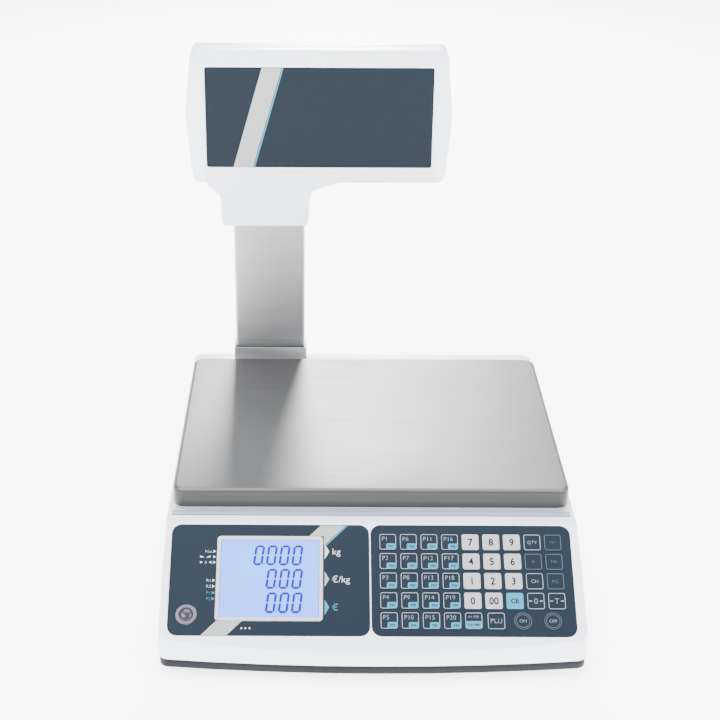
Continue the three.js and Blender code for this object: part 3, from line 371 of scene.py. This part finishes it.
def on_head():
    """Frame of the head's operator side, with x across and y up."""
    return Matrix.Translation((0.0, head_low[1], 0.0)) @ Matrix.Rotation(math.radians(90), 4, "X")


def rounded(x0, y0, x1, y1, radius, steps=6):
    """A rectangle with round corners, anticlockwise."""
    points = []
    for cx, cy, start in ((x1 - radius, y1 - radius, 0), (x0 + radius, y1 - radius, 90),
                          (x0 + radius, y0 + radius, 180), (x1 - radius, y0 + radius, 270)):
        for step in range(steps + 1):
            a = math.radians(start + 90.0 * step / steps)
            points.append((cx + radius * math.cos(a), cy + radius * math.sin(a)))
    return points


def ring_points(cx, cy, radius, steps=36):
    return [(cx + radius * math.cos(2 * math.pi * i / steps), cy + radius * math.sin(2 * math.pi * i / steps))
            for i in range(steps)]


class Layer:
    """Collects flat shapes in one plane and makes one thin printed piece of them."""

    def __init__(self, matrix, thick=INK):
        self.matrix = matrix
        self.thick = thick
        self.shape = bmesh.new()

    def area(self, points):
        low = [self.shape.verts.new((x, y, 0.0)) for x, y in points]
        high = [self.shape.verts.new((x, y, self.thick)) for x, y in points]
        self.shape.faces.new(list(reversed(low)))
        self.shape.faces.new(high)
        for i in range(len(low)):
            j = (i + 1) % len(low)
            self.shape.faces.new((low[i], low[j], high[j], high[i]))

    def strip(self, one, two, closed=False):
        """The band between two lines of equal point count."""
        rows = []
        for z in (0.0, self.thick):
            rows.append([[self.shape.verts.new((x, y, z)) for x, y in line] for line in (one, two)])
        (low_a, low_b), (high_a, high_b) = rows
        count = len(one)
        spans = count if closed else count - 1
        for i in range(spans):
            j = (i + 1) % count
            self.shape.faces.new((low_a[i], low_a[j], low_b[j], low_b[i]))
            self.shape.faces.new((high_a[i], high_b[i], high_b[j], high_a[j]))
            self.shape.faces.new((low_a[i], high_a[i], high_a[j], low_a[j]))
            self.shape.faces.new((low_b[i], low_b[j], high_b[j], high_b[i]))
        if not closed:
            self.shape.faces.new((low_a[0], low_b[0], high_b[0], high_a[0]))
            self.shape.faces.new((low_a[-1], high_a[-1], high_b[-1], low_b[-1]))

    def outline(self, x0, y0, x1, y1, radius, line):
        outer = rounded(x0, y0, x1, y1, radius)
        inner_radius = max(radius - line, 0.0001)
        inner = rounded(x0 + line, y0 + line, x1 - line, y1 - line, inner_radius)
        self.strip(outer, inner, True)

    def word(self, text, x, y, size, align="CENTER", stretch=1.0, weight=0.0):
        """Adds lettering whose middle or end is at x and whose height is centred on y.

        The strokes are drawn a little thin, and weight makes them bolder.
        """
        curve = bpy.data.curves.new("word", "FONT")
        curve.body = text
        curve.size = size
        curve.align_x = align
        curve.offset = weight - 0.022 * size
        curve.resolution_u = 3
        holder = bpy.data.objects.new("word", curve)
        bpy.context.collection.objects.link(holder)
        bpy.context.view_layer.update()
        flat = bpy.data.meshes.new_from_object(holder.evaluated_get(bpy.context.evaluated_depsgraph_get()))
        bpy.data.objects.remove(holder)
        bpy.data.curves.remove(curve)
        middle = 0.345 * size
        letters = bmesh.new()
        letters.from_mesh(flat)
        bmesh.ops.remove_doubles(letters, verts=letters.verts, dist=1e-7)
        bmesh.ops.dissolve_limit(letters, angle_limit=0.01, verts=letters.verts, edges=letters.edges)
        grown = bmesh.ops.extrude_face_region(letters, geom=letters.faces[:])
        tops = [v for v in grown["geom"] if isinstance(v, bmesh.types.BMVert)]
        bmesh.ops.translate(letters, verts=tops, vec=(0.0, 0.0, self.thick))
        for vert in letters.verts:
            vert.co = Vector((x + vert.co.x * stretch, y + vert.co.y - middle, vert.co.z))
        bmesh.ops.recalc_face_normals(letters, faces=letters.faces)
        letters.to_mesh(flat)
        letters.free()
        self.shape.from_mesh(flat)
        bpy.data.meshes.remove(flat)

    def finish(self, name, material, slot_name, body):
        bmesh.ops.recalc_face_normals(self.shape, faces=self.shape.faces)
        mesh = bpy.data.meshes.new(name)
        self.shape.to_mesh(mesh)
        self.shape.free()
        mesh.transform(self.matrix)
        piece = bpy.data.objects.new(name, mesh)
        bpy.context.collection.objects.link(piece)
        paint(piece, material)
        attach(piece, body)
        return piece


# ---- Head front film ----------------------------------------------------------------------------
# A plain blue film fills the head's operator side, printed with one straight grey band that leans
# across it from edge to edge, and a hairline of light blue along the band's right side.
refined("head_front_panel", 0.0002, head_blue, segments=1, smooth=False)


def head_points(pairs):
    """Points given in millimetres from the film's lower left corner, as metres in the head's plane."""
    return [(head_low[0] + x * 0.001, head_low[2] + z * 0.001) for x, z in pairs]


band = Layer(on_head())
band.area(head_points([(22.0, 0.2), (38.0, 0.2), (62.0, 83.2), (46.0, 83.2)]))
band.finish("head_band", ink_grey, "blue_film", "base")
hairline = Layer(on_head())
hairline.area(head_points([(38.5, 0.2), (39.6, 0.2), (63.6, 83.2), (62.5, 83.2)]))
hairline.finish("head_hairline", ink_cyan, "blue_film", "base")

# ---- Deck line ----------------------------------------------------------------------------------
# A shallow moulded line crosses the deck just ahead of the platter. It is shown by a thin dark strip of
# painted shade on the deck, and the cooler band between it and the platter is painted shadow cast by the
# platter. Neither has any depth.
DECK_HEIGHT = 0.082
DECK_HALF = 0.1475
# Both strips are painted shade: the dark line stands for the shade in the groove, the bluish band for the
# shadow under the platter's edge.
painted_groove_shade = moulded("painted_groove_shade", (0.13, 0.135, 0.19), 0.5, texture=1500.0, depth=0.000002, gloss=0.1)
painted_deck_shade = moulded("painted_deck_shade", (0.36, 0.38, 0.50), 0.5, texture=1500.0, depth=0.000002, gloss=0.1)
for name, material, ahead, behind in (("deck_groove_painted_shade", painted_groove_shade, 0.0056, 0.0044),
                                      ("under_platter_painted_shade", painted_deck_shade, 0.0043, -0.0020)):
    deck = Layer(Matrix.Translation((0.0, platter_low[1], DECK_HEIGHT)))
    deck.area([(-DECK_HALF, -ahead), (DECK_HALF, -ahead), (DECK_HALF, -behind), (-DECK_HALF, -behind)])
    deck.finish(name, material, "white_abs", "base")

# ---- Display film -------------------------------------------------------------------------------
# The left half of the operator panel is one film with a cut-out for the display. It carries the same
# straight band as the head, the marks for what the display shows, and the units beside each row.
refined("display_overlay", 0.0002, film_blue, segments=1, smooth=False)
MM = 0.001
FRAME_TOP, FRAME_FOOT = 8.8, 73.9


def panel_layer(out=0.0):
    return Layer(on_panel(out))


def panel_points(pairs):
    """Points given in millimetres across and down the panel."""
    return [(x * MM, -down * MM) for x, down in reversed(pairs)]


panel_band = panel_layer()
panel_band.area(panel_points([(-37.0, 0.3), (-19.0, 0.3), (-34.9, 16.2), (-34.9, FRAME_TOP),
                              (-45.5, FRAME_TOP)]))
panel_band.area(panel_points([(-111.2, FRAME_FOOT), (-93.0, FRAME_FOOT), (-103.6, 84.6), (-121.9, 84.6)]))
panel_band.finish("panel_band", ink_grey, "blue_film", "base")
panel_hairline = panel_layer()
panel_hairline.area(panel_points([(-18.4, 0.3), (-17.3, 0.3), (-34.9, 17.9), (-34.9, 16.8)]))
panel_hairline.finish("panel_hairline", ink_cyan, "blue_film", "base")

marks = {"white": panel_layer(), "cyan": panel_layer(), "grey": panel_layer()}
for text, down, tone in (("Net", 21.0, "white"), ("R1", 43.4, "white"), ("R2", 47.9, "white"),
                         ("P1", 52.8, "cyan"), ("P2", 57.3, "cyan")):
    marks[tone].word(text, -115.6 * MM, -down * MM, 3.5 * MM, align="RIGHT")
    marks[tone].area(panel_points([(-114.9, down - 1.1), (-113.0, down), (-114.9, down + 1.1)]))
for down in (25.3, 29.5):
    marks["white"].area(panel_points([(-114.9, down - 1.1), (-113.0, down), (-114.9, down + 1.1)]))
marks["white"].area(panel_points([(-124.5, 24.3), (-121.3, 25.7), (-124.5, 25.7)]))
marks["white"].area(panel_points([(-117.0, 24.3), (-117.0, 25.7), (-120.2, 25.7)]))
marks["white"].word("0", -120.2 * MM, -29.5 * MM, 3.3 * MM)
marks["white"].area(panel_points([(-124.3, 28.5), (-122.5, 29.5), (-124.3, 30.5)]))
marks["white"].area(panel_points([(-116.2, 28.5), (-116.2, 30.5), (-118.0, 29.5)]))
for text, down, tone in (("kg", 20.8, "white"), ("\u20ac/kg", 42.1, "grey"), ("\u20ac", 63.4, "cyan")):
    marks[tone].area(panel_points([(-34.2, down - 5.8), (-31.0, down), (-34.2, down + 5.8)]))
    unit_tone = "white" if tone == "grey" else tone
    marks[unit_tone].word(text, -29.0 * MM, -down * MM, 7.0 * MM, align="LEFT", weight=0.13 * MM)
for tone, material in (("white", ink_white), ("cyan", ink_cyan), ("grey", ink_grey)):
    marks[tone].finish("display_marks_" + tone, material, "blue_film", "base")

# ---- Display ------------------------------------------------------------------------------------
# A backlit liquid crystal glass in a pale moulded bezel. The backlight is a little uneven, and the
# reading is made of slightly slanted bars. At rest every digit is a nought.
bezel_plastic = moulded("bezel_plastic", (0.45, 0.43, 0.49), 0.36, gloss=0.3)
refined("display_bezel", 0.0004, bezel_plastic)


def backlit(name, dim, bright, power):
    """Evenly lit glass whose glow drifts a little over its width."""
    material, tree, shader = new_material(name, dim, 0.3)
    shader.inputs["Specular IOR Level"].default_value = 0.1
    drift = grain(tree, 5.0, detail=1.0)
    ramp = tree.nodes.new("ShaderNodeValToRGB")
    ramp.color_ramp.elements[0].position = 0.35
    ramp.color_ramp.elements[0].color = (*dim, 1.0)
    ramp.color_ramp.elements[1].position = 0.7
    ramp.color_ramp.elements[1].color = (*bright, 1.0)
    tree.links.new(drift, ramp.inputs["Fac"])
    tree.links.new(ramp.outputs["Color"], shader.inputs["Emission Color"])
    shade_between(tree, shader, drift, tuple(c * 0.2 for c in dim), tuple(c * 0.2 for c in bright))
    shader.inputs["Emission Strength"].default_value = power
    return material


lcd_glow = backlit("lcd_glow", (0.09, 0.22, 1.0), (0.13, 0.32, 1.0), 4.2)
refined("display_lcd", 0.0001, lcd_glow, segments=1, smooth=False)
lcd_bars = moulded("lcd_bars", (0.004, 0.006, 0.30), 0.4, texture=1500.0, depth=0.000002, gloss=0.05)


def bar_nought(layer, left, foot, width, height, lean=0.12, thick=1.75, gap=0.1):
    """A nought of six long, pointed bars, in millimetres from the layer's origin."""
    half = thick / 2.0
    mid = height / 2.0
    bars = (((0, height), (width, height)), ((width, height), (width, mid)), ((width, mid), (width, 0)),
            ((0, 0), (width, 0)), ((0, mid), (0, 0)), ((0, height), (0, mid)))
    for (ax, ay), (bx, by) in bars:
        length = math.hypot(bx - ax, by - ay)
        ux, uy = (bx - ax) / length, (by - ay) / length
        outline = []
        for along, aside in ((gap, 0), (gap + half, half), (length - gap - half, half), (length - gap, 0),
                             (length - gap - half, -half), (gap + half, -half)):
            px, py = ax + ux * along - uy * aside, ay + uy * along + ux * aside
            outline.append(((left + px + lean * py) * MM, (foot + py) * MM))
        layer.area(outline)


GLASS_SET_BACK = 0.00038
reading = panel_layer(-GLASS_SET_BACK)
for top, foot, count in ((16.3, 31.2, 4), (34.5, 49.2, 3), (52.5, 67.5, 3)):
    height = foot - top - 1.0
    for place in range(count):
        left = -57.6 - 9.25 * (count - 1 - place)
        bar_nought(reading, left, -foot + 0.5, 5.4, height)
        if place == 0:
            dot = (left + 7.2) * MM
            reading.area(ring_points(dot, -(foot - 0.7) * MM, 0.6 * MM, 10))
reading.finish("display_reading", lcd_bars, "display_glass", "base")

# ---- Level and status lights --------------------------------------------------------------------
# A round spirit level sits in the film's lower left corner under a domed lens, and three milky dots
# below the display are the ends of one moulded light guide.
level_plastic = moulded("level_plastic", (0.10, 0.09, 0.13), 0.3, gloss=0.3)
refined("level_cup", 0.0003, level_plastic, segments=2)
level_lens = moulded("level_lens", (0.022, 0.015, 0.038), 0.14, depth=0.000002, gloss=0.5)
refined("level_lens", 0.0004, level_lens, segments=3, angle=40.0)
light_guide = moulded("light_guide", (0.42, 0.40, 0.36), 0.25)
refined("status_light_guide", 0.0001, light_guide, segments=1)

# ---- Keypad film --------------------------------------------------------------------------------
# The right half of the panel is one embossed film over snap domes. Each key is a rounded pad that
# stands half a millimetre above the sheet, in the same blue, and its colours are inks on top of that.
keypad_film = Layer(on_panel(-FILM), FILM)
keypad_film.area(rounded(-0.7 * MM, -84.9 * MM, 144.5 * MM, 0.0, 7 * MM))
KEY_SIZE, KEY_PITCH, KEY_RISE = 12.5, 15.0, 0.5
FIRST_X, FIRST_DOWN = 11.6, 13.2
BOTTOM_ROW = FIRST_DOWN + 4 * KEY_PITCH
LOOKUP_X = 87.6
places = [(FIRST_X + c * KEY_PITCH, FIRST_DOWN + r * KEY_PITCH) for c in range(9) for r in range(4)]
places += [(FIRST_X + c * KEY_PITCH, BOTTOM_ROW) for c in range(5)] + [(LOOKUP_X, BOTTOM_ROW)]
round_places = [(106.6, BOTTOM_ROW), (127.9, BOTTOM_ROW)]
keypad_film.finish("keypad_film", film_blue, "blue_film", "base")
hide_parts("keypad_overlay")
pads = Layer(on_panel(), KEY_RISE * MM)


def key_corners(x, down, grow=0.0):
    reach = KEY_SIZE / 2 + grow
    return (x - reach) * MM, -(down + reach) * MM, (x + reach) * MM, -(down - reach) * MM


for x, down in places:
    pads.area(rounded(*key_corners(x, down), 1.6 * MM, 4))
for x, down in round_places:
    pads.area(ring_points(x * MM, -down * MM, 6.5 * MM, 32))
pads_piece = pads.finish("keypad_pads", film_blue, "blue_film", "base")
pad_edges = pads_piece.modifiers.new("pressed_edge", "BEVEL")
pad_edges.width = 0.00035
pad_edges.segments = 2

key_ink = {name: panel_layer(KEY_RISE * MM) for name in ("line", "dim", "cyan", "grey")}
legend = {name: panel_layer(KEY_RISE * MM + INK) for name in ("line", "dim", "dark", "tag")}


def key_outline(name, x, down):
    key_ink[name].outline(*key_corners(x, down, -0.25), 1.5 * MM, 0.36 * MM)


for number in range(20):
    column_index, row = divmod(number, 5)
    x, down = FIRST_X + column_index * KEY_PITCH, FIRST_DOWN + row * KEY_PITCH
    key_outline("line", x, down)
    key_ink["cyan"].area(rounded((x - 1.2) * MM, -(down + 5.9) * MM, (x + 5.9) * MM, -(down + 1.2) * MM,
                                 1.1 * MM, 3))
    legend["line"].word("P%d" % (number + 1), (x - 4.5) * MM, -(down - 2.4) * MM, 4.7 * MM, align="LEFT")
    legend["tag"].word("P%d" % (number + 21), (x + 2.4) * MM, -(down + 3.6) * MM, 2.5 * MM, weight=0.12 * MM)
for i, text in enumerate(("7", "8", "9", "4", "5", "6", "1", "2", "3", "0", "00")):
    row, c = divmod(i, 3)
    x, down = FIRST_X + (4 + c) * KEY_PITCH, FIRST_DOWN + row * KEY_PITCH
    key_ink["grey"].area(rounded(*key_corners(x, down, -0.15), 1.5 * MM, 4))
    legend["dark"].word(text, x * MM, -down * MM, 7.6 * MM, stretch=0.9, weight=0.34 * MM)
clear_x, clear_down = FIRST_X + 6 * KEY_PITCH, FIRST_DOWN + 3 * KEY_PITCH
key_ink["cyan"].area(rounded(*key_corners(clear_x, clear_down, -0.15), 1.5 * MM, 4))
legend["dark"].word("CE", clear_x * MM, -clear_down * MM, 4.9 * MM, weight=0.24 * MM)
for c, row, text, tone, size in ((7, 0, "QTY", "line", 3.6), (7, 1, "+", "dim", 6.4),
                                 (7, 2, "CH", "line", 3.8),
                                 (7, 3, "0", "line", 6.2), (8, 0, "M+", "dim", 3.4), (8, 1, "MR", "dim", 3.4),
                                 (8, 2, "MC", "dim", 3.4), (8, 3, "T", "line", 6.2)):
    x, down = FIRST_X + c * KEY_PITCH, FIRST_DOWN + row * KEY_PITCH
    key_outline(tone, x, down)
    legend[tone].word(text, x * MM, -down * MM, size * MM)
    if row == 3:
        for side in (-1, 1):
            bar = sorted(((x + side * 2.8) * MM, (x + side * 4.8) * MM))
            legend["line"].area([(bar[0], -(down + 0.3) * MM), (bar[1], -(down + 0.3) * MM),
                                 (bar[1], -(down - 0.3) * MM), (bar[0], -(down - 0.3) * MM)])
shift_x = FIRST_X + 4 * KEY_PITCH
key_outline("line", shift_x, BOTTOM_ROW)
key_ink["cyan"].area(rounded((shift_x - 5.9) * MM, -(BOTTOM_ROW + 5.9) * MM, (shift_x + 5.9) * MM,
                             -(BOTTOM_ROW + 0.2) * MM, 1.1 * MM, 3))
legend["line"].word("P1-P20", shift_x * MM, -(BOTTOM_ROW - 2.9) * MM, 2.6 * MM)
legend["tag"].word("P21-P40", shift_x * MM, -(BOTTOM_ROW + 3.0) * MM, 2.4 * MM, weight=0.12 * MM)
key_outline("line", LOOKUP_X, BOTTOM_ROW)
legend["line"].word("PLU", LOOKUP_X * MM, -BOTTOM_ROW * MM, 5.2 * MM)
for (x, down), text in zip(round_places, ("ON", "OFF")):
    for radius in (6.2, 4.9):
        key_ink["dim"].strip(ring_points(x * MM, -down * MM, radius * MM),
                             ring_points(x * MM, -down * MM, (radius - 0.28) * MM), True)
    legend["line"].word(text, x * MM, -down * MM, 3.4 * MM)
for name, material in (("line", ink_line), ("dim", ink_dim), ("cyan", ink_cyan), ("grey", ink_key)):
    key_ink[name].finish("key_ink_" + name, material, "blue_film", "base")
for name, material in (("line", ink_line), ("dim", ink_dim), ("dark", ink_dark), ("tag", ink_dark)):
    legend[name].finish("key_legend_" + name, material, "blue_film", "base")

# ---- Customer display ---------------------------------------------------------------------------
# The head's far side has its own film and backlit glass for the customer, with the same three rows.
refined("head_rear_overlay", 0.0002, head_blue, segments=1, smooth=False)
refined("customer_lcd", 0.0001, lcd_glow, segments=1)
glass_low, glass_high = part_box("customer_lcd")
glass_middle = (glass_low[0] + glass_high[0]) / 2.0
turn = Matrix.Rotation(math.radians(180), 4, "Z") @ Matrix.Rotation(math.radians(90), 4, "X")
customer = Layer(Matrix.Translation((glass_middle, glass_high[1], glass_low[2])) @ turn)
for row, count in enumerate((3, 3, 4)):
    foot = 4.5 + 19.0 * row
    for place in range(count):
        left = 40.0 - 12.0 * (count - 1 - place)
        bar_nought(customer, left, foot, 7.4, 14.5, thick=1.4)
        if place == 0:
            customer.area(ring_points((left + 9.6) * MM, (foot + 0.4) * MM, 0.8 * MM, 10))
customer.finish("customer_reading", lcd_bars, "display_glass", "base")

# ---- Metal parts and fasteners ------------------------------------------------------------------
# Folded steel frame, straps and screws, zinc plated: dull bluish metal with a crystal bloom. The
# column's socket is brushed like the column. The load cell, its pedestal and the spider are aluminium.
zinc_steel = brushed("zinc_steel", (0.24, 0.245, 0.255), 0.38, (3.0, 3.0, 3.0), tone=0.10)
cast_aluminium = brushed("cast_aluminium", (0.27, 0.275, 0.28), 0.46, (6.0, 6.0, 6.0), strength=0.4,
                         tone=0.06)
SLOT_OF = {row["node"]: row["material_slot"] for row in frame["record"]["subparts"]}
METALS = {"zinc_steel": zinc_steel, "cast_aluminium": cast_aluminium}
for node in sorted(SLOT_OF):
    if SLOT_OF[node] in METALS and node != "pole_bracket":
        refined(node, 0.0002, METALS[SLOT_OF[node]], segments=1, angle=40.0)
refined("pole_bracket", 0.0002, column_steel, segments=2)

# ---- Electrical and soft parts ------------------------------------------------------------------
# Boards, battery, transformer, sockets and the display's cable, and the rubber under the feet and
# the platter. Most of these are hidden, and show from below or with the platter lifted off.
board_green = moulded("board_green", (0.02, 0.15, 0.06), 0.45, texture=900.0, shift=0.15)
black_plastic = moulded("black_plastic", (0.018, 0.018, 0.021), 0.42, shift=0.15)
laminated_iron = brushed("laminated_iron", (0.25, 0.24, 0.22), 0.5, (0.4, 30.0, 0.4), tone=0.12)
rubber = moulded("rubber", (0.022, 0.022, 0.024), 0.75, texture=1800.0, depth=0.00008, shift=0.15)
membrane_film = moulded("membrane_film", (0.55, 0.53, 0.46), 0.4)
backlight_panel = moulded("backlight_panel", (0.75, 0.78, 0.85), 0.3)
cable_sheath = moulded("cable_sheath", (0.03, 0.03, 0.034), 0.5, shift=0.15)
OTHERS = {"board": board_green, "black_plastic": black_plastic, "laminated_iron": laminated_iron,
          "rubber": rubber, "membrane_film": membrane_film, "backlight_panel": backlight_panel,
          "cable_sheath": cable_sheath}
for node in sorted(SLOT_OF):
    if SLOT_OF[node] in OTHERS:
        refined(node, 0.00015, OTHERS[SLOT_OF[node]], segments=1, angle=40.0)
